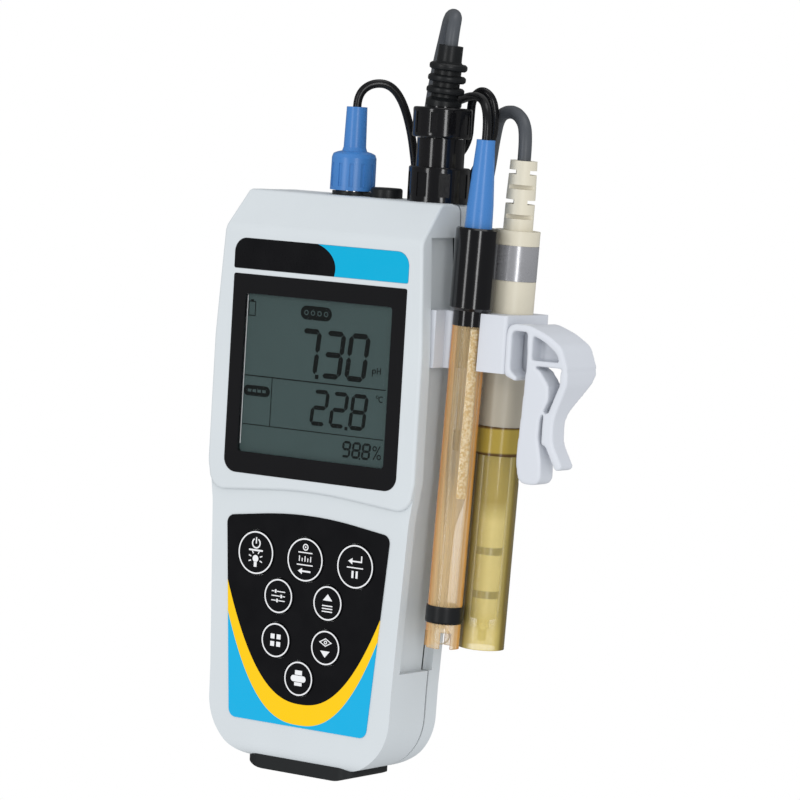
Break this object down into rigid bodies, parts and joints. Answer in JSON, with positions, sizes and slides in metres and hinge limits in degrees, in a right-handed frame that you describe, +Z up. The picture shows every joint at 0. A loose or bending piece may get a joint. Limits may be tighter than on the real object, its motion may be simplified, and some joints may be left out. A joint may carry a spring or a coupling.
{
  "type": "water quality meter",
  "caption": "Upright handheld water meter with display, keypad, two leaning probes in a side holder, beaker clip, two top connectors and looped probe cables.",
  "frame": {"origin": "middle of the rubber foot's flat underside, on the surface it stands on", "axes": "+Z up the meter, display faces -Y, probe holder on the +X side"},
  "size_m": [0.1557, 0.0984, 0.2681],
  "materials": {
    "case_shell": "fine satin moulded plastic",
    "black_rubber": "matt",
    "black_plastic": "satin to gloss",
    "label_film": "printed polyester film",
    "key_film": "printed polyester film",
    "clear_lens": "clear acrylic",
    "lcd_panel": "reflective display glass",
    "light_guide": "white moulded plastic",
    "circuit_board": "solder mask",
    "steel": "plain",
    "nickel": "plated",
    "cell_jacket": "printed jacket",
    "blue_boot": "soft moulded sleeve",
    "beige_plastic": "moulded epoxy-filled plastic",
    "amber_clear": "clear amber plastic",
    "clear_glass": "thin glass",
    "gel": "gel-soaked wick",
    "grey_plug": "porous plug",
    "guard_clear": "clear yellow plastic",
    "gold_collar": "clear yellow plastic over a core",
    "silver_band": "metallised film",
    "clip_grey": "satin moulded plastic",
    "black_cable": "smooth jacket",
    "grey_cable": "smooth jacket"
  },
  "bodies": {
    "meter": {"batteries": "cell_jacket", "battery_contacts": "nickel", "battery_door": "case_shell", "battery_door_seal": "black_rubber", "battery_tray": "light_guide", "bnc_plug": "nickel", "bnc_socket": "nickel", "bottom_foot": "black_rubber", "cable_tie": "black_plastic", "case_gasket": "black_rubber", "case_screws": "steel", "clip_frame": "clip_grey", "display_bezel": "black_plastic", "display_lens": "clear_lens", "dome_sheet": "light_guide", "ec_band": "silver_band", "ec_body": "beige_plastic", "ec_cable_coil": "grey_cable", "ec_cable_meter_side": "grey_cable", "ec_cable_probe_side": "grey_cable", "ec_collar": "gold_collar", "ec_core": "beige_plastic", "ec_electrodes": "steel", "ec_guard": "guard_clear", "ec_strain_relief": "beige_plastic", "front_shell": "case_shell", "header_label": "label_film", "jack_cover": "black_rubber", "keypad_overlay": "key_film", "kickstand_pin": "steel", "lcd_backlight": "light_guide", "lcd_glass": "lcd_panel", "main_board": "circuit_board", "ph_body_tube": "amber_clear", "ph_boot": "blue_boot", "ph_cable_coil": "black_cable", "ph_cable_meter_side": "black_cable", "ph_cable_probe_side": "black_cable", "ph_cap": "black_plastic", "ph_gel_wick": "gel", "ph_glass_stem": "clear_glass", "ph_o_ring": "black_rubber", "ph_reference_rod": "grey_plug", "plug_body": "black_plastic", "plug_strain_relief": "black_rubber", "probe_holder": "clip_grey", "probe_socket": "black_plastic", "rear_shell": "case_shell"},
    "key_1": {"key_1": "key_film"},
    "key_2": {"key_2": "key_film"},
    "key_3": {"key_3": "key_film"},
    "key_4": {"key_4": "key_film"},
    "key_5": {"key_5": "key_film"},
    "key_6": {"key_6": "key_film"},
    "key_7": {"key_7": "key_film"},
    "key_8": {"key_8": "key_film"},
    "stand": {"kickstand": "case_shell"},
    "nut": {"coupling_nut": "black_plastic"},
    "boot": {"bnc_boot": "blue_boot"},
    "jaw": {"clip_jaw": "clip_grey"}
  },
  "joints": [
    {"name": "key_1_press", "type": "slide", "parent": "meter", "child": "key_1", "axis": [0, 1, 0], "range_m": [0, 0.0004], "stiffness_N_per_m": 4000},
    {"name": "key_2_press", "type": "slide", "parent": "meter", "child": "key_2", "axis": [0, 1, 0], "range_m": [0, 0.0004], "stiffness_N_per_m": 4000},
    {"name": "key_3_press", "type": "slide", "parent": "meter", "child": "key_3", "axis": [0, 1, 0], "range_m": [0, 0.0004], "stiffness_N_per_m": 4000},
    {"name": "key_4_press", "type": "slide", "parent": "meter", "child": "key_4", "axis": [0, 1, 0], "range_m": [0, 0.0004], "stiffness_N_per_m": 4000},
    {"name": "key_5_press", "type": "slide", "parent": "meter", "child": "key_5", "axis": [0, 1, 0], "range_m": [0, 0.0004], "stiffness_N_per_m": 4000},
    {"name": "key_6_press", "type": "slide", "parent": "meter", "child": "key_6", "axis": [0, 1, 0], "range_m": [0, 0.0004], "stiffness_N_per_m": 4000},
    {"name": "key_7_press", "type": "slide", "parent": "meter", "child": "key_7", "axis": [0, 1, 0], "range_m": [0, 0.0004], "stiffness_N_per_m": 4000},
    {"name": "key_8_press", "type": "slide", "parent": "meter", "child": "key_8", "axis": [0, 1, 0], "range_m": [0, 0.0004], "stiffness_N_per_m": 4000},
    {"name": "stand_fold", "type": "hinge", "parent": "meter", "child": "stand", "pos_m": [0, 0.01695, 0.174], "axis": [1, 0, 0], "range_deg": [0, 32]},
    {"name": "nut_turn", "type": "hinge", "parent": "meter", "child": "nut", "pos_m": [0.03, 0.006, 0.229], "axis": [0, 0, 1], "range_deg": [0, 120]},
    {"name": "boot_turn", "type": "hinge", "parent": "meter", "child": "boot", "pos_m": [-0.0062, 0.006, 0.215], "axis": [0, 0, 1], "range_deg": [0, 90]},
    {"name": "jaw_open", "type": "hinge", "parent": "meter", "child": "jaw", "pos_m": [0.09395, 0.002, 0.1479], "axis": [0, -1, 0], "range_deg": [0, 9], "stiffness_Nm_per_rad": 0.6}
  ]
}
